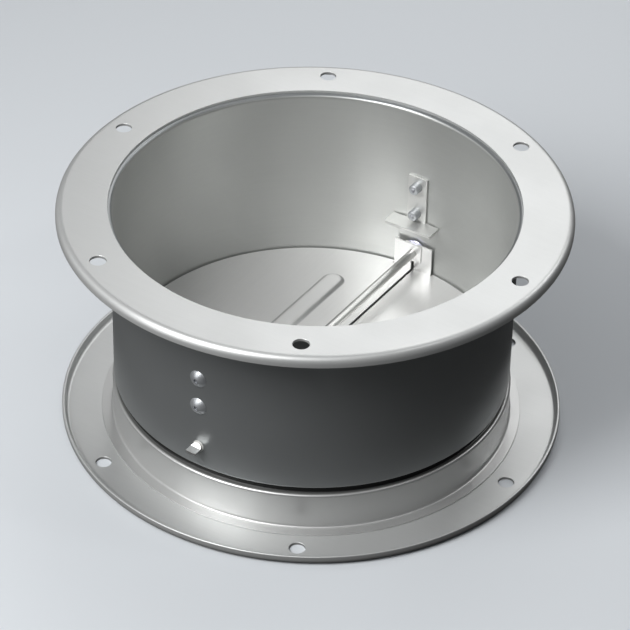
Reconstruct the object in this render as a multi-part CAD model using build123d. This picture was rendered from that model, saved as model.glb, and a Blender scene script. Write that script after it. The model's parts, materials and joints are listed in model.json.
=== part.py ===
from build123d import *
import math
import os

# Twin-leaf butterfly damper for a 250 mm round duct, in millimetres.
# Z is the duct axis, pointing the way the air leaves. The origin is at the middle of the lower
# mating face. The spindle lies along Y, and its front end is the one at -Y.

# ---- casing tube ----
body_outer_d = 248.0      # outside of the tube above the seat groove
neck_step = 0.9           # how far the short neck below the groove stands out past the body
body_sheet = 1.2          # wall of the tube
height = 154.0            # from mating face to mating face
foot_w = 7.1              # from the outside of the neck to the rim of the turned-out feet
foot_bend_r = 1.5         # hollow side of the bend between tube and foot
groove_w = 4.65           # rolled seat groove, from flank to flank
groove_mouth_bend = 0.5   # hollow side of the bends at the mouth of the groove
groove_floor_bend = 1.1   # hollow side of the bends at the floor of the groove
groove_flank = 0.2        # straight part of a flank between its two bends

# ---- flange rings ----
flange_sheet = 1.8
flange_fit = 0.6          # radial gap between the neck and the bore of a ring
flange_w = 31.5           # from the bore of a ring to its outer edge
rim_roll_r = 4.5          # outside of the rolled rim
rim_depth = 6.8           # depth of the rim from the mating face
rim_lip_round = 0.7       # rounding of the free edge of the rim
bolt_line = 17.5          # from the bore of a ring to its bolt circle
bolt_hole_d = 10.0
bolt_count = 6
hole_bevel = 0.15         # broken edge of a bolt hole

# ---- spindle and its bearings ----
spindle_z = 47.2          # height of the spindle above the lower mating face
spindle_d = 5.5
running_fit = 0.06        # radial clearance of whatever turns on the spindle
bush_fit = 0.05           # radial clearance of the spindle in its bushes
bush_wall = 1.0
bush_flange_w = 2.1       # how far the bush flange stands out past its barrel
bush_flange_t = 0.8
bush_hole_fit = 0.08      # radial clearance of the barrel in the wall
bush_stand_out = 0.15     # how far the barrel shows outside the wall
washer_d = 16.0
washer_t = 1.0
washer_bevel = 0.2
neck_len = 2.3            # round end of the spindle flowing into its flattened tab
neck_start_gap = 0.5      # from the outside of the wall to the start of that neck
tab_len = 5.5
tab_w = 7.2
tab_t = 1.5
tab_corner_r = 0.6

# ---- leaves ----
leaf_drop = 13.0          # from the spindle axis down to the upper face of a shut leaf
leaf_sheet = 1.0
leaf_wall_gap = 1.2       # from the rim of a shut leaf to the wall
leaf_slit = 1.8           # between the straight edges of the two leaves
leaf_seat_gap = 0.1       # from the underside of a shut leaf to its seat
lug_reach = 13.6          # from the spindle axis to the far edge of a lug
lug_heel = 6.2            # from the spindle axis to the edges that pass over the slit
lug_top = 6.6             # from the spindle axis to the top of a lug
lug_corner_r = 1.0
lug_bend_r = 0.8          # hollow side of the bend between leaf and lug
lug_relief_w = 0.8        # notch beside that bend
stack_gap = 0.1           # between neighbours in the stack of lugs, washer and bush
rib_x = 35.4              # from the duct axis to the middle of the pressed rib
rib_w = 14.4
rib_len = 171.2
rib_rise = 1.8
rib_slope = 45.0          # flank of the rib, from upright, in degrees
rib_crest_r = 1.6
rib_foot_r = 1.2

# ---- stop brackets ----
strap_w = 14.0
strap_sheet = 1.5
strap_bend_r = 1.0        # hollow side of the bend between strap and shelf
shelf_w = 34.0
shelf_reach = 12.8        # from the back of the strap to the free edge of the shelf
shelf_above_axis = 22.8   # from the spindle axis to the underside of the shelf
strap_rise = 34.6         # from the underside of the shelf to the top of the strap
wing_wall_gap = 0.3       # from the corners of the shelf to the wall
wall_seat_gap = 0.05      # from a flat part to the round wall that it sits on
shelf_corner_r = 0.5
strap_corner_r = 0.5

# ---- blind rivets ----
lower_rivet_rise = 7.4    # from the underside of the shelf to the lower rivet
rivet_pitch = 20.2
rivet_shank_d = 4.8
rivet_hole_fit = 0.1
rivet_head_d = 11.4
rivet_head_h = 2.8
rivet_tail_d = 7.0
rivet_tail_len = 5.6
rivet_tail_round = 1.0
mandrel_d = 2.7
mandrel_bevel = 0.45
mandrel_fit = 0.04
mandrel_sunk = 0.9        # from the crown of the head down to the broken mandrel
mandrel_stub = 0.6        # mandrel past the end of the tail

# ---- for picking edges ----
same_place = 0.01         # how near an edge's middle lies to the height or depth it is picked by

# ---- sizes that follow from those above ----
body_r = body_outer_d / 2
bore_r = body_r - body_sheet
neck_r = body_r + neck_step
foot_r = neck_r + foot_w
flange_bore_r = neck_r + flange_fit
flange_r = flange_bore_r + flange_w
bolt_circle_r = flange_bore_r + bolt_line
leaf_r = bore_r - leaf_wall_gap
leaf_top = spindle_z - leaf_drop
leaf_bottom = leaf_top - leaf_sheet
mouth_r = body_sheet + groove_mouth_bend
groove_depth = mouth_r + groove_floor_bend + groove_flank
groove_top = leaf_bottom - leaf_seat_gap - body_sheet
groove_bottom = groove_top - groove_w
shaft_r = spindle_d / 2
barrel_r = shaft_r + bush_fit + bush_wall
bush_flange_r = barrel_r + bush_flange_w


def wall_at(x):
    """Y of the inside of the wall, at the distance x to the side of the spindle."""
    return math.sqrt(bore_r**2 - x**2)


# The stack along each half of the spindle, from the wall inwards.
bush_seat = wall_at(bush_flange_r) - wall_seat_gap
washer_back = bush_seat - bush_flange_t - stack_gap
outer_lug_back = washer_back - washer_t - 2 * stack_gap
inner_lug_back = outer_lug_back - leaf_sheet - stack_gap

strap_back = wall_at(strap_w / 2) - wall_seat_gap
strap_front = strap_back - strap_sheet
shelf_bottom = spindle_z + shelf_above_axis
rivet_heights = [shelf_bottom + lower_rivet_rise + i * rivet_pitch for i in range(2)]


def sheet_section(points, radii, thickness, plane):
    """Section of a bent sheet. Its first face follows the points, which turn only in right
    angles, with the given bend radii. The sheet lies to the left of that path."""
    steps = [(Vector(b) - Vector(a)).normalized() for a, b in zip(points, points[1:])]
    normals = [Vector(-step.Y, step.X) for step in steps]
    first, last = normals[0], normals[-1]
    shifts = [first] + [a + b for a, b in zip(normals, normals[1:])] + [last]
    back_points = [Vector(p) + shift * thickness for p, shift in zip(points, shifts)]
    left_turns = [a.cross(b).Z > 0 for a, b in zip(steps, steps[1:])]
    back_radii = [r - thickness if left else r + thickness for r, left in zip(radii, left_turns)]
    with BuildSketch(plane) as section:
        with BuildLine():
            FilletPolyline(*points, radius=radii)
            FilletPolyline(*back_points, radius=back_radii)
            Line(points[0], back_points[0])
            Line(points[-1], back_points[-1])
        make_face()
    return section.sketch


def spun_sheet(points, radii, thickness):
    """Bent sheet of even thickness, spun about the duct axis."""
    return revolve(sheet_section(points, radii, thickness, Plane.XZ), axis=Axis.Z)


def cross_bore(radius, z):
    """Cylinder right across the casing along Y, to drill both walls at once."""
    return Pos(0, 0, z) * Rot(90, 0, 0) * Cylinder(radius, 2 * body_outer_d)


def turned(points, z):
    """Solid turned about a line along Y at the height z, from (radius, y) points."""
    profile = make_face(Polyline(*[(r, y, 0) for r, y in points], close=True))
    return Pos(0, 0, z) * revolve(profile, axis=Axis.Y)


def half_turn(shape):
    """The same piece at the other end of the spindle."""
    return Rot(0, 0, 180) * shape


def casing_tube():
    """Tube with its two feet and the rolled groove that carries the leaves."""
    lower_foot = flange_sheet + body_sheet
    upper_foot = height - lower_foot
    path = [
        (foot_r, lower_foot),
        (neck_r, lower_foot),
        (neck_r, groove_bottom),
        (body_r - groove_depth, groove_bottom),
        (body_r - groove_depth, groove_top),
        (body_r, groove_top),
        (body_r, upper_foot),
        (foot_r, upper_foot),
    ]
    bends = [foot_bend_r, mouth_r, groove_floor_bend, groove_floor_bend, mouth_r, foot_bend_r]
    tube = spun_sheet(path, bends, body_sheet)
    tube -= cross_bore(barrel_r + bush_hole_fit, spindle_z)
    for z in rivet_heights:
        tube -= cross_bore(rivet_shank_d / 2 + rivet_hole_fit, z)
    return tube


def flange_ring():
    """Lower flange ring: flat face down, rim rolled up towards the tube."""
    path = [(flange_bore_r, 0), (flange_r, 0), (flange_r, rim_depth)]
    ring = spun_sheet(path, [rim_roll_r], flange_sheet)
    lip = ring.edges().group_by(Axis.Z)[-1]
    ring = fillet(lip, rim_lip_round)
    hole_r = bolt_hole_d / 2
    hole = Pos(0, 0, flange_sheet / 2) * Cylinder(hole_r, 2 * flange_sheet)
    bevel = Pos(0, 0, hole_bevel / 2) * Cone(hole_r + hole_bevel, hole_r, hole_bevel)
    for place in PolarLocations(bolt_circle_r, bolt_count):
        ring -= place * hole
        ring -= place * bevel
        ring -= place * Pos(0, 0, flange_sheet) * Rot(180, 0, 0) * bevel
    return ring


def upper_flange_ring():
    """The same ring turned over, on the upper end of the casing."""
    return Pos(0, 0, height) * Rot(180, 0, 0) * flange_ring()


def spindle_end():
    """Rear end of the rod: pressed flat outside the wall, so that the rod stays in."""
    neck_start = body_r + neck_start_gap
    neck_end = neck_start + neck_len
    pinch = [
        (neck_start, -shaft_r),
        (neck_end, -tab_t / 2),
        (neck_end, tab_t / 2),
        (neck_start, shaft_r),
    ]
    wedge = extrude(Plane.YZ * make_face(Polyline(*pinch, close=True)), amount=tab_w, both=True)
    round_end = Cone(shaft_r, tab_w / 2, neck_len)
    neck = wedge & (Pos(0, neck_start + neck_len / 2, 0) * Rot(-90, 0, 0) * round_end)
    tab = Pos(0, neck_end + tab_len / 2, 0) * Box(tab_w, tab_len, tab_t)
    corners = tab.edges().filter_by(Axis.Z).group_by(Axis.Y)[-1]
    tab = fillet(corners, tab_corner_r)
    return Pos(0, 0, spindle_z) * (neck + tab)


def spindle():
    """Rod across the tube, flattened at both ends so that it stays in."""
    half_len = body_r + neck_start_gap
    rod = Pos(0, 0, spindle_z) * Rot(90, 0, 0) * Cylinder(shaft_r, 2 * half_len)
    end = spindle_end()
    return rod + end + half_turn(end)


def wall_bush():
    """Flanged bush that lines the rear spindle hole."""
    bore = shaft_r + bush_fit
    flange_front = bush_seat - bush_flange_t
    barrel_end = body_r + bush_stand_out
    outline = [
        (bore, flange_front),
        (bush_flange_r, flange_front),
        (bush_flange_r, bush_seat),
        (barrel_r, bush_seat),
        (barrel_r, barrel_end),
        (bore, barrel_end),
    ]
    return turned(outline, spindle_z)


def spindle_washer():
    """Zinc plated washer between the lugs and the rear bush."""
    bore = shaft_r + running_fit
    front = washer_back - washer_t
    rim = washer_d / 2
    bevel = washer_bevel
    outline = [
        (bore, front),
        (rim - bevel, front),
        (rim, front + bevel),
        (rim, washer_back - bevel),
        (rim - bevel, washer_back),
        (bore, washer_back),
    ]
    return turned(outline, spindle_z)


def leaf_blank():
    """Half-round sheet of the right leaf, notched beside its two lugs."""
    half_slit = leaf_slit / 2
    notch_depth = leaf_sheet + lug_bend_r
    with BuildPart() as part:
        with BuildSketch(Plane.XY.offset(leaf_bottom)):
            Circle(leaf_r)
            with Locations((half_slit, 0)):
                Rectangle(2 * leaf_r, 2 * leaf_r, align=(Align.MAX, Align.CENTER), mode=Mode.SUBTRACT)
            for end, lug_back in ((1, outer_lug_back), (-1, inner_lug_back)):
                align = (Align.MIN, Align.MIN if end > 0 else Align.MAX)
                with Locations((0, end * lug_back)):
                    Rectangle(lug_reach + lug_relief_w, bore_r, align=align, mode=Mode.SUBTRACT)
                with Locations((lug_reach, end * (lug_back - notch_depth))):
                    Rectangle(lug_relief_w, bore_r, align=align, mode=Mode.SUBTRACT)
        extrude(amount=leaf_sheet)
    return part.part


def lug(lug_back):
    """Upturned lug of the right leaf at its rear end, with the hole for the spindle."""
    half_slit = leaf_slit / 2
    with BuildPart() as part:
        with BuildSketch(Plane.XZ.offset(-lug_back)):
            with BuildLine():
                Polyline(
                    (half_slit, leaf_bottom),
                    (lug_reach, leaf_bottom),
                    (lug_reach, spindle_z + lug_top),
                    (-lug_heel, spindle_z + lug_top),
                    (-lug_heel, spindle_z - lug_heel),
                    (half_slit, spindle_z - lug_heel),
                    close=True,
                )
            make_face()
            corners = vertices().filter_by(lambda v: v.Z > leaf_top)
            fillet(corners, lug_corner_r)
            with Locations((0, spindle_z)):
                Circle(shaft_r + running_fit, mode=Mode.SUBTRACT)
        extrude(amount=leaf_sheet)
    return part.part


def pressed_rib(shape):
    """Press the long rib up out of the right leaf, hollow below."""
    slope = math.radians(rib_slope)
    inset = leaf_sheet / math.cos(slope) - leaf_sheet * math.tan(slope)
    raised = Pos(rib_x, 0, leaf_top) * SlotOverall(rib_len, rib_w, rotation=90)
    hollow = Pos(rib_x, 0, leaf_bottom) * SlotOverall(rib_len - 2 * inset, rib_w - 2 * inset, rotation=90)
    shape += extrude(raised, amount=rib_rise, taper=rib_slope)
    shape -= extrude(hollow, amount=rib_rise, taper=rib_slope)
    crest = shape.edges().filter_by(lambda e: abs(e.center().Z - leaf_top - rib_rise) < same_place)
    shape = fillet(crest, rib_crest_r)
    foot_edge = rib_w / 2 + rib_foot_r
    foot = shape.edges().filter_by(
        lambda e: abs(e.center().Z - leaf_top) < same_place
        and e.bounding_box().min.X > rib_x - foot_edge
        and e.bounding_box().max.X < rib_x + foot_edge
    )
    return fillet(foot, rib_foot_r)


def leaf():
    """Right leaf: its rear lug is the outer one of the pair, its front lug the inner one."""
    shape = pressed_rib(leaf_blank())
    shape += lug(outer_lug_back)
    shape += mirror(lug(inner_lug_back), about=Plane.XZ)
    for end, back in ((1, outer_lug_back), (-1, inner_lug_back)):
        hollow_y = end * (back - leaf_sheet)
        hollow = shape.edges().filter_by(
            lambda e: abs(e.center().Y - hollow_y) < same_place
            and abs(e.center().Z - leaf_top) < same_place
        )
        shape = fillet(hollow, lug_bend_r)
        rounded = shape.edges().filter_by(
            lambda e: abs(e.center().Y - end * back) < same_place
            and abs(e.center().Z - leaf_bottom) < same_place
        )
        shape = fillet(rounded, lug_bend_r + leaf_sheet)
    return shape


def stop_bracket():
    """Rear bracket: a strap up the wall, bent into a wide shelf that stops the open leaves."""
    bend_r = strap_sheet + strap_bend_r
    front = strap_back - shelf_reach
    wing_back = wall_at(shelf_w / 2) - wing_wall_gap
    path = [
        (front, shelf_bottom),
        (strap_back, shelf_bottom),
        (strap_back, shelf_bottom + strap_rise),
    ]
    section = sheet_section(path, [bend_r], strap_sheet, Plane.YZ)
    bracket = extrude(section, amount=strap_w / 2, both=True)
    top_corners = bracket.edges().filter_by(Axis.Y).group_by(Axis.Z)[-1]
    bracket = fillet(top_corners, strap_corner_r)
    wing_w = (shelf_w - strap_w) / 2
    wing_depth = wing_back - front
    for side in (1, -1):
        wing = Box(wing_w, wing_depth, strap_sheet)
        outer_corners = wing.edges().filter_by(Axis.Z).group_by(Axis.X)[-1 if side > 0 else 0]
        wing = fillet(outer_corners, shelf_corner_r)
        wing_x = side * (strap_w + wing_w) / 2
        bracket += Pos(wing_x, front + wing_depth / 2, shelf_bottom + strap_sheet / 2) * wing
    for z in rivet_heights:
        bracket -= cross_bore(rivet_shank_d / 2 + rivet_hole_fit, z)
    return bracket


def rivet_body(z):
    """Set blind rivet of the rear bracket: domed head outside, bulged tail inside."""
    crown = body_r + rivet_head_h
    bore = mandrel_d / 2 + mandrel_fit
    head_r = rivet_head_d / 2
    tail_r = rivet_tail_d / 2
    tail_end = strap_front - rivet_tail_len
    dome_r = (head_r**2 + rivet_head_h**2) / (2 * rivet_head_h)
    hole_y = crown - dome_r + math.sqrt(dome_r**2 - bore**2)
    half_y = crown - dome_r + math.sqrt(dome_r**2 - (head_r / 2) ** 2)
    with BuildSketch() as outline:
        with BuildLine():
            Polyline(
                (bore, hole_y),
                (bore, tail_end),
                (tail_r - rivet_tail_round, tail_end),
            )
            RadiusArc(
                (tail_r - rivet_tail_round, tail_end),
                (tail_r, tail_end + rivet_tail_round),
                -rivet_tail_round,
            )
            Polyline(
                (tail_r, tail_end + rivet_tail_round),
                (tail_r, strap_front),
                (rivet_shank_d / 2, strap_front),
                (rivet_shank_d / 2, body_r),
                (head_r, body_r),
            )
            ThreePointArc((head_r, body_r), (head_r / 2, half_y), (bore, hole_y))
        make_face()
    return Pos(0, 0, z) * revolve(outline.sketch, axis=Axis.Y)


def rivet_mandrel(z):
    """Stub of the pulled mandrel, left in the rivet."""
    start = strap_front - rivet_tail_len - mandrel_stub
    end = body_r + rivet_head_h - mandrel_sunk
    rim = mandrel_d / 2
    bevel = mandrel_bevel
    outline = [
        (0, start),
        (rim - bevel, start),
        (rim, start + bevel),
        (rim, end - bevel),
        (rim - bevel, end),
        (0, end),
    ]
    return turned(outline, z)


def write_node(name, *solids):
    """Write one node as a STEP file."""
    shape = solids[0] if len(solids) == 1 else Compound(children=list(solids))
    export_step(shape, f"parts/{name}.step")


os.makedirs("parts", exist_ok=True)

write_node("casing_tube", casing_tube())
write_node("lower_flange_ring", flange_ring())
write_node("upper_flange_ring", upper_flange_ring())
write_node("spindle", spindle())

right = leaf()
write_node("right_leaf", right)
write_node("left_leaf", half_turn(right))

bodies = [rivet_body(z) for z in rivet_heights]
mandrels = [rivet_mandrel(z) for z in rivet_heights]
write_node("rear_wall_bush", wall_bush())
write_node("front_wall_bush", half_turn(wall_bush()))
write_node("rear_spindle_washer", spindle_washer())
write_node("front_spindle_washer", half_turn(spindle_washer()))
write_node("rear_stop_bracket", stop_bracket())
write_node("front_stop_bracket", half_turn(stop_bracket()))
write_node("rear_rivet_bodies", *bodies)
write_node("front_rivet_bodies", *[half_turn(b) for b in bodies])
write_node("rear_rivet_mandrels", *mandrels)
write_node("front_rivet_mandrels", *[half_turn(m) for m in mandrels])
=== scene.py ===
import json
import math

import bmesh
import bpy
from mathutils import Matrix, Vector

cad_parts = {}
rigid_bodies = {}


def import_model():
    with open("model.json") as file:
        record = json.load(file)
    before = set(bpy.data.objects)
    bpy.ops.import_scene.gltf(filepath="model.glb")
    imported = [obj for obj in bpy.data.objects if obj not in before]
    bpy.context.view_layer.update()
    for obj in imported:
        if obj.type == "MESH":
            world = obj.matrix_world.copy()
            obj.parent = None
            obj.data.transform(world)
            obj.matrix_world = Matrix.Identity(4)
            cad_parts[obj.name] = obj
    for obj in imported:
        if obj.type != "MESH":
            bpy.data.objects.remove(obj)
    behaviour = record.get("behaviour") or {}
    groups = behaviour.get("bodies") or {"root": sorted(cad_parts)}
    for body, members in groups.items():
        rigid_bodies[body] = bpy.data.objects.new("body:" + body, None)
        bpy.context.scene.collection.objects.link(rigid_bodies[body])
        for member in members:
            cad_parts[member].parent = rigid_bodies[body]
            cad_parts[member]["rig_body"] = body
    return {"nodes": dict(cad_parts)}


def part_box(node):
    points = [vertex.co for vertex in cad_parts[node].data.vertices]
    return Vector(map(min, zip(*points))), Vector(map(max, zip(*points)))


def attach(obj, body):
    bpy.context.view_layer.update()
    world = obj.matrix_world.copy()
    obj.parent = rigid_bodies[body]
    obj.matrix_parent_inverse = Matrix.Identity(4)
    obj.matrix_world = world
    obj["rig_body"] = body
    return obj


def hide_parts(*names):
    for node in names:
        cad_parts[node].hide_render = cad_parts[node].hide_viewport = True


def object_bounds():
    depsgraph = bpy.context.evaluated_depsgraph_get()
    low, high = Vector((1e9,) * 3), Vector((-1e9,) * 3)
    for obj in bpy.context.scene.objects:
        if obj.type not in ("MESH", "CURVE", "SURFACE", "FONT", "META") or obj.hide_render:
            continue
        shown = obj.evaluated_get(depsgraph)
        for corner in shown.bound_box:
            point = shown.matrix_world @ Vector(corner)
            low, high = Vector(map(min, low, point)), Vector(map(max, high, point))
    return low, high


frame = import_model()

# Twin-leaf butterfly damper, dressed for its portrait. All lengths are in metres, in the frame
# of the CAD model: Z is the duct axis and the spindle lies along Y.

cad_low, cad_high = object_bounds()
nodes = frame["nodes"]
MM = 0.001

# ---- camera ----
LENS = 177.98             # mm, on a sensor SENSOR mm wide
SENSOR = 36.0
VIEW_AZIMUTH = 32.5       # degrees round from the front end of the spindle
VIEW_ELEVATION = 36.47
VIEW_ROLL = 1.31
VIEW_DISTANCE = 1.8805
AIM_BELOW_TOP = 0.0683    # how far the middle of the view lies below the upper flange's middle
AIM_LEFT = 0.00033        # and how far to its left


def make_camera():
    az, el = math.radians(VIEW_AZIMUTH), math.radians(VIEW_ELEVATION)
    back = Vector((math.sin(az) * math.cos(el), -math.cos(az) * math.cos(el), math.sin(el)))
    right = Vector((math.cos(az), math.sin(az), 0.0))
    up = back.cross(right)
    roll = math.radians(VIEW_ROLL)
    rolled_right = math.cos(roll) * right + math.sin(roll) * up
    rolled_up = math.cos(roll) * up - math.sin(roll) * right
    aim = Vector((0, 0, cad_high.z)) - AIM_BELOW_TOP * rolled_up - AIM_LEFT * rolled_right
    data = bpy.data.cameras.new("portrait")
    data.lens = LENS
    data.sensor_width = SENSOR
    camera = bpy.data.objects.new("portrait", data)
    turn = Matrix((rolled_right, rolled_up, back)).transposed().to_4x4()
    camera.matrix_world = Matrix.Translation(aim + VIEW_DISTANCE * back) @ turn
    bpy.context.scene.collection.objects.link(camera)
    bpy.context.scene.camera = camera


# ---- studio ----
FLOOR_SIZE = 8.0
FLOOR_ROUGHNESS = 0.9
FLOOR_SEEN = (0.66, 0.69, 0.72)       # to the camera
FLOOR_CAST = (0.05, 0.05, 0.05)       # to all other rays, so that the floor doesn't light the piece
SKY = (0.80, 0.84, 0.90)
SKY_STRENGTH = 0.05
LIGHT_DISTANCE = 1.3
LIGHTS = [                # name, azimuth, elevation, size in metres, power in watts
    ("key", 254, 47, 0.60, 12.8),
    ("front_high", 290, 58, 0.90, 2.4),
    ("low_front", 245, 18, 0.70, 3.2),
    ("low_left", 200, 25, 0.70, 1.0),
    ("back", 110, 39, 0.80, 3.8),
    ("right_high", 10, 60, 0.15, 0.8),
    ("right_back", 64, 38, 0.35, 2.2),
    ("back_high", 104, 62, 0.70, 1.2),
]


def soft_box(name, azimuth, elevation, size, power):
    """Square area light on a dome round the object. Azimuth 0 is +X and 90 is +Y."""
    az, el = math.radians(azimuth), math.radians(elevation)
    aim = Vector((0, 0, cad_high.z / 2))
    ray = Vector((math.cos(az) * math.cos(el), math.sin(az) * math.cos(el), math.sin(el)))
    data = bpy.data.lights.new(name, "AREA")
    data.shape = "SQUARE"
    data.size = size
    data.energy = power
    lamp = bpy.data.objects.new(name, data)
    lamp.location = aim + LIGHT_DISTANCE * ray
    lamp.rotation_mode = "QUATERNION"
    lamp.rotation_quaternion = (-ray).to_track_quat("-Z", "Y")
    bpy.context.scene.collection.objects.link(lamp)


def make_floor():
    mesh = bpy.data.meshes.new("floor")
    half = FLOOR_SIZE / 2
    corners = [(-half, -half, 0), (half, -half, 0), (half, half, 0), (-half, half, 0)]
    mesh.from_pydata(corners, [], [(0, 1, 2, 3)])
    floor = bpy.data.objects.new("floor", mesh)
    floor.location.z = cad_low.z
    bpy.context.scene.collection.objects.link(floor)
    material = bpy.data.materials.new("floor")
    material.use_nodes = True
    tree = material.node_tree
    shader = tree.nodes["Principled BSDF"]
    shader.inputs["Roughness"].default_value = FLOOR_ROUGHNESS
    path = tree.nodes.new("ShaderNodeLightPath")
    tone = mix_colours(tree, FLOOR_CAST, FLOOR_SEEN, path.outputs["Is Camera Ray"])
    tree.links.new(tone, shader.inputs["Base Color"])
    mesh.materials.append(material)


def studio():
    make_floor()
    world = bpy.data.worlds.new("studio")
    world.use_nodes = True
    backdrop = world.node_tree.nodes["Background"]
    backdrop.inputs["Color"].default_value = (*SKY, 1)
    backdrop.inputs["Strength"].default_value = SKY_STRENGTH
    bpy.context.scene.world = world
    for light in LIGHTS:
        soft_box(*light)
    bpy.context.scene.view_settings.view_transform = "Standard"


# ---- sizes of the tube and the rings, as in the CAD model ----
TUBE_SHEET = 1.2 * MM
TUBE_OUTER_R = 124.0 * MM
NECK_R = 124.9 * MM
FOOT_BEND_R = 1.5 * MM
GROOVE_W = 4.65 * MM
GROOVE_DEPTH = 3.0 * MM
GROOVE_MOUTH_R = 1.7 * MM
GROOVE_FLOOR_R = 1.1 * MM
LEAF_SEAT_GAP = 0.1 * MM
CUT_EDGE = 0.12 * MM      # broken corners of a cut sheet edge

BUSH_HOLE_R = 3.88 * MM
RIVET_HOLE_R = 2.5 * MM
RIVET_HEAD_R = 5.7 * MM
DRILL_REACH = 20.0 * MM

RING_SHEET = 1.8 * MM
RING_BORE_R = 125.5 * MM
RIM_ROLL_R = 4.5 * MM
RIM_LIP_R = 0.7 * MM
BOLT_CIRCLE_R = 143.0 * MM
BOLT_HOLE_R = 5.0 * MM
HOLE_BEVEL = 0.15 * MM
BOLT_COUNT = 6

leaf_low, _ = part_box("left_leaf")
GROOVE_TOP = leaf_low.z - LEAF_SEAT_GAP - TUBE_SHEET
GROOVE_BOTTOM = GROOVE_TOP - GROOVE_W

# ---- spun sheet pieces, finer than the tessellation of the CAD model ----
TURN_STEPS = 480          # round the duct axis
BEND_STEPS = 9            # in a right-angled bend
EDGE_STEPS = 3            # in the broken corner of a cut edge
HOLE_STEPS = 64
SMOOTH_ANGLE = 35.0       # degrees, above which an edge is sharp


def rounded(points, radii):
    """Corner points of an open path with each inner corner turned into an arc."""
    path = [Vector(points[0])]
    for before, corner, after, radius in zip(points, points[1:], points[2:], radii):
        corner = Vector(corner)
        into = (corner - Vector(before)).normalized()
        out = (Vector(after) - corner).normalized()
        turn = into.angle(out)
        reach = radius * math.tan(turn / 2)
        centre = corner - reach * into + radius * (out - into * into.dot(out)).normalized()
        start = corner - reach * into - centre
        per_bend = EDGE_STEPS if radius == CUT_EDGE else BEND_STEPS
        steps = max(1, round(per_bend * turn / (math.pi / 2)))
        way = 1 if into.cross(out) > 0 else -1
        for i in range(steps + 1):
            angle = way * turn * i / steps
            path.append(centre + Matrix.Rotation(angle, 2) @ start)
    path.append(Vector(points[-1]))
    return path


def sheet_outline(points, radii, thickness, edge_radii):
    """Closed outline of a bent sheet. The points run along its first face, and the sheet lies
    to their left. The two edge radii round the corners of its two cut edges."""
    steps = [(Vector(b) - Vector(a)).normalized() for a, b in zip(points, points[1:])]
    normals = [Vector((-step.y, step.x)) for step in steps]
    shifts = [normals[0]] + [a + b for a, b in zip(normals, normals[1:])] + [normals[-1]]
    back = [Vector(p) + thickness * shift for p, shift in zip(points, shifts)]
    turns = [a.cross(b) > 0 for a, b in zip(steps, steps[1:])]
    back_radii = [r - thickness if left else r + thickness for r, left in zip(radii, turns)]
    start_r, end_r = edge_radii
    middle = (Vector(points[0]) + back[0]) / 2
    loop = [middle, *points, *reversed(back), middle]
    corner_radii = [start_r, *radii, end_r, end_r, *reversed(back_radii), start_r]
    outline = rounded([tuple(p) for p in loop], corner_radii)
    return outline[:-1]


def outward(mesh):
    """Turn the faces of closed forms to the outside."""
    solid = bmesh.new()
    solid.from_mesh(mesh)
    bmesh.ops.recalc_face_normals(solid, faces=solid.faces)
    solid.to_mesh(mesh)
    solid.free()


def closed_object(name, verts, faces):
    mesh = bpy.data.meshes.new(name)
    mesh.from_pydata(verts, [], faces)
    outward(mesh)
    thing = bpy.data.objects.new(name, mesh)
    bpy.context.scene.collection.objects.link(thing)
    return thing


def spin(name, outline):
    """Mesh object of a closed outline of (r, z) points spun about the duct axis."""
    count = len(outline)
    verts = []
    for i in range(TURN_STEPS):
        angle = 2 * math.pi * i / TURN_STEPS
        verts += [(p.x * math.cos(angle), p.x * math.sin(angle), p.y) for p in outline]
    faces = []
    for i in range(TURN_STEPS):
        here, there = i * count, (i + 1) % TURN_STEPS * count
        for j in range(count):
            k = (j + 1) % count
            faces.append((here + j, there + j, there + k, here + k))
    return closed_object(name, verts, faces)


def cutter(drills):
    """Solids of revolution to drill with. Each drill is a profile of (radius, height) points
    and the places where it is set."""
    verts, faces = [], []
    for profile, places in drills:
        count = len(profile)
        for place in places:
            first = len(verts)
            for i in range(HOLE_STEPS):
                angle = 2 * math.pi * i / HOLE_STEPS
                spoke = Vector((math.cos(angle), math.sin(angle), 0))
                verts += [place @ (r * spoke + Vector((0, 0, z))) for r, z in profile]
            for i in range(HOLE_STEPS):
                here = first + i * count
                there = first + (i + 1) % HOLE_STEPS * count
                faces += [
                    (here + j, there + j, there + j + 1, here + j + 1) for j in range(count - 1)
                ]
            for j in (0, count - 1):
                faces.append([first + i * count + j for i in range(HOLE_STEPS)])
    return closed_object("cutter", verts, faces)


def drill(piece, holes):
    """Cut the holes out of the piece and throw the cutter away."""
    cut = piece.modifiers.new("holes", "BOOLEAN")
    cut.operation = "DIFFERENCE"
    cut.solver = "EXACT"
    cut.object = holes
    bpy.context.view_layer.update()
    graph = bpy.context.evaluated_depsgraph_get()
    drilled = bpy.data.meshes.new_from_object(piece.evaluated_get(graph))
    piece.modifiers.clear()
    blank = piece.data
    piece.data = drilled
    bpy.data.meshes.remove(blank)
    drilled.name = piece.name
    holes_mesh = holes.data
    bpy.data.objects.remove(holes)
    bpy.data.meshes.remove(holes_mesh)


def finish_sheet(piece, holes, node, finish):
    """Drill the piece, smooth its bends and put it in the place of its CAD node."""
    drill(piece, holes)
    sheet = piece.data
    sheet.polygons.foreach_set("use_smooth", [True] * len(sheet.polygons))
    sheet.set_sharp_from_angle(angle=math.radians(SMOOTH_ANGLE))
    even = piece.modifiers.new("even_normals", "WEIGHTED_NORMAL")
    even.keep_sharp = True
    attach(piece, nodes[node]["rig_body"])
    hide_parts(node)
    paint(piece, finish)


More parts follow.
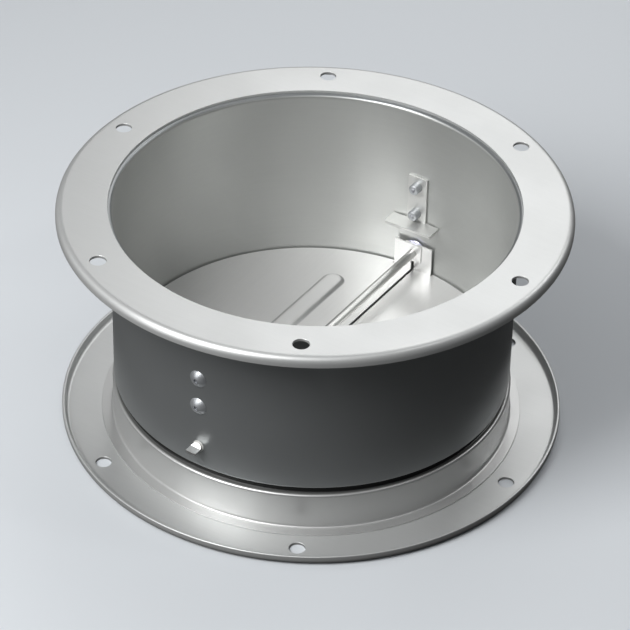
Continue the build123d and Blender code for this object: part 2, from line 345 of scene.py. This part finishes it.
def wall_cutter():
    """Cutter for the spindle and rivet holes at both ends of the spindle."""
    bush_places, rivet_places = [], []
    for side, end in (("rear", 1), ("front", -1)):
        bush_low, bush_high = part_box(f"{side}_wall_bush")
        heads_low, heads_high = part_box(f"{side}_rivet_bodies")
        bush_places.append(through_wall(end, (bush_low.z + bush_high.z) / 2))
        rivet_places.append(through_wall(end, heads_low.z + RIVET_HEAD_R))
        rivet_places.append(through_wall(end, heads_high.z - RIVET_HEAD_R))
    return cutter([
        ([(BUSH_HOLE_R, -DRILL_REACH), (BUSH_HOLE_R, DRILL_REACH)], bush_places),
        ([(RIVET_HOLE_R, -DRILL_REACH), (RIVET_HOLE_R, DRILL_REACH)], rivet_places),
    ])


def through_wall(end, height):
    """Place of a drill along the spindle, in the rear wall (end 1) or the front wall (end -1)."""
    across = Matrix.Rotation(math.radians(-90), 4, "X")
    return Matrix.Translation((0, end * TUBE_OUTER_R, height)) @ across


def casing_skin():
    """Tube with both feet turned out, its wider neck and the rolled seat groove."""
    tube_low, tube_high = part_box("casing_tube")
    foot_r = tube_high.x
    lower_foot = tube_low.z + TUBE_SHEET
    upper_foot = tube_high.z - TUBE_SHEET
    groove_r = TUBE_OUTER_R - GROOVE_DEPTH
    path = [
        (foot_r, lower_foot),
        (NECK_R, lower_foot),
        (NECK_R, GROOVE_BOTTOM),
        (groove_r, GROOVE_BOTTOM),
        (groove_r, GROOVE_TOP),
        (TUBE_OUTER_R, GROOVE_TOP),
        (TUBE_OUTER_R, upper_foot),
        (foot_r, upper_foot),
    ]
    groove_bends = [GROOVE_MOUTH_R, GROOVE_FLOOR_R, GROOVE_FLOOR_R, GROOVE_MOUTH_R]
    bends = [FOOT_BEND_R, *groove_bends, FOOT_BEND_R]
    skin = spin("casing_skin", sheet_outline(path, bends, TUBE_SHEET, (CUT_EDGE, CUT_EDGE)))
    finish_sheet(skin, wall_cutter(), "casing_tube", "casing_sheet")


def ring_skin(name, node, face_z, inward):
    """Flange ring with its mating face at face_z; inward is the way to the other flange."""
    ring_low, ring_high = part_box(node)
    outer_r = min(*ring_high.xy, *(-ring_low).xy)
    depth = ring_high.z - ring_low.z
    path = [(RING_BORE_R, 0), (outer_r, 0), (outer_r, depth)]
    outline = sheet_outline(path, [RIM_ROLL_R], RING_SHEET, (CUT_EDGE, RIM_LIP_R))
    ring = spin(name, [Vector((p.x, face_z + inward * p.y)) for p in outline])
    wide = BOLT_HOLE_R + 2 * HOLE_BEVEL
    profile = [
        (wide, -HOLE_BEVEL),
        (BOLT_HOLE_R, HOLE_BEVEL),
        (BOLT_HOLE_R, RING_SHEET - HOLE_BEVEL),
        (wide, RING_SHEET + HOLE_BEVEL),
    ]
    places = [
        Matrix.Rotation(2 * math.pi * i / BOLT_COUNT, 4, "Z")
        @ Matrix.Translation((BOLT_CIRCLE_R, 0, face_z))
        @ Matrix.Diagonal((1, 1, inward, 1))
        for i in range(BOLT_COUNT)
    ]
    finish_sheet(ring, cutter([(profile, places)]), node, "flange_sheet")


# ---- shader nodes ----
MIX_FACTOR, MIX_A, MIX_B = 0, 6, 7    # inputs of a Mix node that mixes colours
MIX_RESULT = 2                        # and its output


def mix_colours(tree, colour_a, colour_b, factor):
    """Socket with the mix of two colours; each is a plain colour or another socket."""
    mix = tree.nodes.new("ShaderNodeMix")
    mix.data_type = "RGBA"
    tree.links.new(factor, mix.inputs[MIX_FACTOR])
    for socket, colour in ((mix.inputs[MIX_A], colour_a), (mix.inputs[MIX_B], colour_b)):
        if isinstance(colour, tuple):
            socket.default_value = (*colour, 1)
        else:
            tree.links.new(colour, socket)
    return mix.outputs[MIX_RESULT]


def math_node(tree, operation, *values):
    """Socket with the result of a sum; each value is a float or another socket."""
    node = tree.nodes.new("ShaderNodeMath")
    node.operation = operation
    for socket, value in zip(node.inputs, values):
        if isinstance(value, float):
            socket.default_value = value
        else:
            tree.links.new(value, socket)
    return node.outputs["Value"]


def span(tree, value, low, high, out_low=0.0, out_high=1.0):
    """Socket with the value, mapped in a straight line and kept between the two ends."""
    fit = tree.nodes.new("ShaderNodeMapRange")
    fit.inputs["From Min"].default_value = low
    fit.inputs["From Max"].default_value = high
    fit.inputs["To Min"].default_value = out_low
    fit.inputs["To Max"].default_value = out_high
    tree.links.new(value, fit.inputs["Value"])
    return fit.outputs["Result"]


def rise(tree, value, start, fade):
    """Mask that is 0 up to the start and 1 beyond the fade."""
    return span(tree, value, start, start + fade)


def fall(tree, value, start, fade):
    """Mask that is 1 up to the start and 0 beyond the fade."""
    return span(tree, value, start, start + fade, 1.0, 0.0)


def noise(tree, place, stretch, detail):
    """Noise with its own scale per metre along X, Y and Z."""
    squeeze = tree.nodes.new("ShaderNodeMapping")
    squeeze.inputs["Scale"].default_value = stretch
    tree.links.new(place, squeeze.inputs["Vector"])
    grain = tree.nodes.new("ShaderNodeTexNoise")
    grain.inputs["Scale"].default_value = 1.0
    grain.inputs["Detail"].default_value = detail
    tree.links.new(squeeze.outputs["Vector"], grain.inputs["Vector"])
    return grain.outputs["Fac"]


def spangle(tree, place):
    """Even random value for each zinc grain."""
    cells = tree.nodes.new("ShaderNodeTexVoronoi")
    cells.inputs["Scale"].default_value = SPANGLE_SCALE
    tree.links.new(place, cells.inputs["Vector"])
    split = tree.nodes.new("ShaderNodeSeparateColor")
    tree.links.new(cells.outputs["Color"], split.inputs["Color"])
    return split.outputs["Red"]


# ---- masks of painted shade and painted light, by place on the piece ----
WALL_MIDDLE_R = TUBE_OUTER_R - TUBE_SHEET / 2
WALL_FADE = 0.2 * MM      # inside the sheet, between its inner and its outer face
BODY_FADE = 1.0 * MM
NECK_FADE = 0.3 * MM
HOLLOW_REACH = 1.3 * MM   # the painted shade in the groove starts this far inside the body's outer face
HOLLOW_FADE = 0.9 * MM
MOUTH_FADE = 0.4 * MM     # fade of the painted shade, at the upper and the lower edge of the groove

# pressed ribs of the leaves, with painted shade on their flanks and a painted highlight on their
# crests
RIB_X = 35.4 * MM
RIB_W = 14.4 * MM
RIB_LEN = 171.2 * MM
FLANK_W = 2.6 * MM
FLANK_FADE = 1.2 * MM
FOOT_OVERLAP = 0.2 * MM
FOOT_FADE = 1.0 * MM
CREST_FADE = 1.4 * MM


def radius_and_height(tree, place):
    split = tree.nodes.new("ShaderNodeSeparateXYZ")
    tree.links.new(place, split.inputs["Vector"])
    flat = tree.nodes.new("ShaderNodeCombineXYZ")
    tree.links.new(split.outputs["X"], flat.inputs["X"])
    tree.links.new(split.outputs["Y"], flat.inputs["Y"])
    length = tree.nodes.new("ShaderNodeVectorMath")
    length.operation = "LENGTH"
    tree.links.new(flat.outputs["Vector"], length.inputs[0])
    return length.outputs["Value"], split.outputs["Z"]


def body_outside_painted_shade(tree, place):
    """Mask of the painted shade on the outer half of the sheet above the seat groove, and on the
    upper foot.
    """
    radius, height = radius_and_height(tree, place)
    outer = rise(tree, radius, WALL_MIDDLE_R - WALL_FADE / 2, WALL_FADE)
    above = rise(tree, height, GROOVE_TOP, BODY_FADE)
    return math_node(tree, "MULTIPLY", outer, above)


def neck_and_foot_painted_reflection(tree, place):
    """Mask of both faces of the neck and the lower foot, painted lighter as a painted reflection of
    the bright lower flange.
    """
    radius, height = radius_and_height(tree, place)
    outer = rise(tree, radius, WALL_MIDDLE_R - WALL_FADE / 2, WALL_FADE)
    below = fall(tree, height, GROOVE_BOTTOM, NECK_FADE)
    return math_node(tree, "MULTIPLY", outer, below)


def groove_painted_shade(tree, place):
    """Mask of the painted shade, near black, on the sheet of the seat groove. It knows radius
    and height only, so it paints the hollow outside and the inner face of the seat alike."""
    radius, height = radius_and_height(tree, place)
    hollow = fall(tree, radius, TUBE_OUTER_R - HOLLOW_REACH, HOLLOW_FADE)
    below = fall(tree, height, GROOVE_TOP, MOUTH_FADE)
    above = rise(tree, height, GROOVE_BOTTOM - MOUTH_FADE / 2, MOUTH_FADE)
    between = math_node(tree, "MULTIPLY", below, above)
    return math_node(tree, "MULTIPLY", hollow, between)


def from_rib_line(tree, place):
    """Distance from the middle line of the nearer pressed rib, seen from above."""
    split = tree.nodes.new("ShaderNodeSeparateXYZ")
    tree.links.new(place, split.inputs["Vector"])
    across = math_node(tree, "ABSOLUTE", split.outputs["X"])
    along = math_node(tree, "ABSOLUTE", split.outputs["Y"])
    beside = math_node(tree, "SUBTRACT", across, RIB_X)
    past_end = math_node(tree, "SUBTRACT", along, (RIB_LEN - RIB_W) / 2)
    beyond = math_node(tree, "MAXIMUM", past_end, 0.0)
    square = math_node(tree, "MULTIPLY", beside, beside)
    total = math_node(tree, "MULTIPLY_ADD", beyond, beyond, square)
    return math_node(tree, "SQRT", total)


def rib_flank_painted_shade(tree, place):
    """Mask of the painted shade on the flanks of a pressed rib."""
    away = from_rib_line(tree, place)
    inner = rise(tree, away, RIB_W / 2 - FLANK_W, FLANK_FADE)
    outer = fall(tree, away, RIB_W / 2 - FOOT_OVERLAP, FOOT_FADE)
    return math_node(tree, "MULTIPLY", inner, outer)


def rib_crest_painted_highlight(tree, place):
    """Mask of the painted highlight on the crest of a pressed rib."""
    away = from_rib_line(tree, place)
    return fall(tree, away, RIB_W / 2 - FLANK_W - CREST_FADE, CREST_FADE)


# ---- materials ----
LINE_DETAIL = 3.0
LINE_RANGE = (0.3, 0.7)   # of the noise, from the dull to the bright tone
BLOTCH_SCALE = (22, 22, 22)
BLOTCH_DETAIL = 2.0
BLOTCH_RANGE = (0.4, 0.75)
BLOTCH_SHARE = 0.5        # of the dull tone, in the middle of a blotch
SPANGLE_SCALE = 260.0
SPANGLE_SHARE = 0.35      # of the bright tone, in the brightest zinc grain
TONE_SPREAD = 0.015       # of the dull and the bright tone, from the colour
GLOSS_RANGE = (0.3, 0.7)
GLOSS_SPREAD = 0.03
ROLLING_DEPTH = 0.01 * MM
ROLLING_STRENGTH = 0.25


def metal(name, colour, roughness, metallic, rolled, patches=()):
    """Sheet or rod with its rolling lines, a faint spangle and soft blotches. The rolling lines
    have their own scale along X, Y and Z. Each patch is a function that gives a mask socket,
    and the colour painted there; on the casing and the leaves these are painted shade and light."""
    material = bpy.data.materials.new(name)
    material.use_nodes = True
    tree = material.node_tree
    shader = tree.nodes["Principled BSDF"]
    shader.inputs["Metallic"].default_value = metallic
    place = tree.nodes.new("ShaderNodeTexCoord").outputs["Object"]
    lines = noise(tree, place, rolled, LINE_DETAIL)
    blotches = noise(tree, place, BLOTCH_SCALE, BLOTCH_DETAIL)
    bright = tuple(min(1.0, c * (1 + TONE_SPREAD)) for c in colour)
    dull = tuple(c * (1 - TONE_SPREAD) for c in colour)
    finish = mix_colours(tree, dull, bright, span(tree, lines, *LINE_RANGE))
    cloud = span(tree, blotches, *BLOTCH_RANGE, 0.0, BLOTCH_SHARE)
    finish = mix_colours(tree, finish, dull, cloud)
    glint = span(tree, spangle(tree, place), 0.0, 1.0, 0.0, SPANGLE_SHARE)
    finish = mix_colours(tree, finish, bright, glint)
    for mask, tone in patches:
        finish = mix_colours(tree, finish, tone, mask(tree, place))
    tree.links.new(finish, shader.inputs["Base Color"])
    low_gloss, high_gloss = roughness - GLOSS_SPREAD, roughness + GLOSS_SPREAD
    gloss = span(tree, blotches, *GLOSS_RANGE, low_gloss, high_gloss)
    tree.links.new(gloss, shader.inputs["Roughness"])
    bump = tree.nodes.new("ShaderNodeBump")
    bump.inputs["Strength"].default_value = ROLLING_STRENGTH
    bump.inputs["Distance"].default_value = ROLLING_DEPTH
    tree.links.new(lines, bump.inputs["Height"])
    tree.links.new(bump.outputs["Normal"], shader.inputs["Normal"])
    return material


# painted shade and painted reflection on the casing
CASING_PATCHES = (
    # painted shade: the outside of the body above the groove is darker than the same sheet inside
    (body_outside_painted_shade, (0.29, 0.303, 0.308)),
    # painted reflection: the neck and the lower foot are lighter, as if they mirrored the lower
    # flange
    (neck_and_foot_painted_reflection, (0.57, 0.575, 0.57)),
    # painted shade: the seat groove is near black, where its hollow lies in shadow
    (groove_painted_shade, (0.03, 0.03, 0.03)),
)
# painted shade and painted highlight on the leaves
LEAF_PATCHES = (
    # painted shade on the flanks of the pressed ribs
    (rib_flank_painted_shade, (0.42, 0.42, 0.42)),
    # painted highlight on the crests of the pressed ribs
    (rib_crest_painted_highlight, (0.92, 0.92, 0.91)),
)
# name: colour, roughness, metallic, scale of the rolling lines along X, Y and Z, patches
METALS = {
    "casing_sheet": ((0.51, 0.52, 0.508), 0.36, 0.65, (30, 30, 900), CASING_PATCHES),
    "flange_sheet": ((0.60, 0.61, 0.605), 0.40, 0.55, (30, 900, 900)),
    "leaf_sheet": ((0.86, 0.86, 0.85), 0.34, 0.5, (900, 30, 900), LEAF_PATCHES),
    "bracket_sheet": ((0.64, 0.645, 0.63), 0.38, 0.6, (900, 900, 40)),
    "spindle_steel": ((0.61, 0.61, 0.60), 0.32, 0.9, (1500, 40, 1500)),
    "zinc_plate": ((0.70, 0.70, 0.86), 0.30, 0.95, (900, 900, 900)),
    "rivet_aluminium": ((0.52, 0.54, 0.56), 0.42, 0.75, (700, 700, 700)),
    "mandrel_steel": ((0.42, 0.43, 0.46), 0.45, 0.8, (900, 900, 900)),
    "bush_plastic": ((0.80, 0.80, 0.77), 0.50, 0.0, (300, 300, 300)),
}
FINISHES = {name: metal(name, *values) for name, values in METALS.items()}

CAD_FINISHES = {
    "casing_sheet": ["casing_tube"],
    "flange_sheet": ["lower_flange_ring", "upper_flange_ring"],
    "leaf_sheet": ["left_leaf", "right_leaf"],
    "bracket_sheet": ["front_stop_bracket", "rear_stop_bracket"],
    "spindle_steel": ["spindle"],
    "zinc_plate": ["front_spindle_washer", "rear_spindle_washer"],
    "rivet_aluminium": ["front_rivet_bodies", "rear_rivet_bodies"],
    "mandrel_steel": ["front_rivet_mandrels", "rear_rivet_mandrels"],
    "bush_plastic": ["front_wall_bush", "rear_wall_bush"],
}


def paint(piece, finish):
    piece.data.materials.clear()
    piece.data.materials.append(FINISHES[finish])


casing_skin()
ring_skin("lower_ring", "lower_flange_ring", cad_low.z, 1)
ring_skin("upper_ring", "upper_flange_ring", cad_high.z, -1)
for finish, names in CAD_FINISHES.items():
    for name in names:
        paint(nodes[name], finish)

studio()
make_camera()
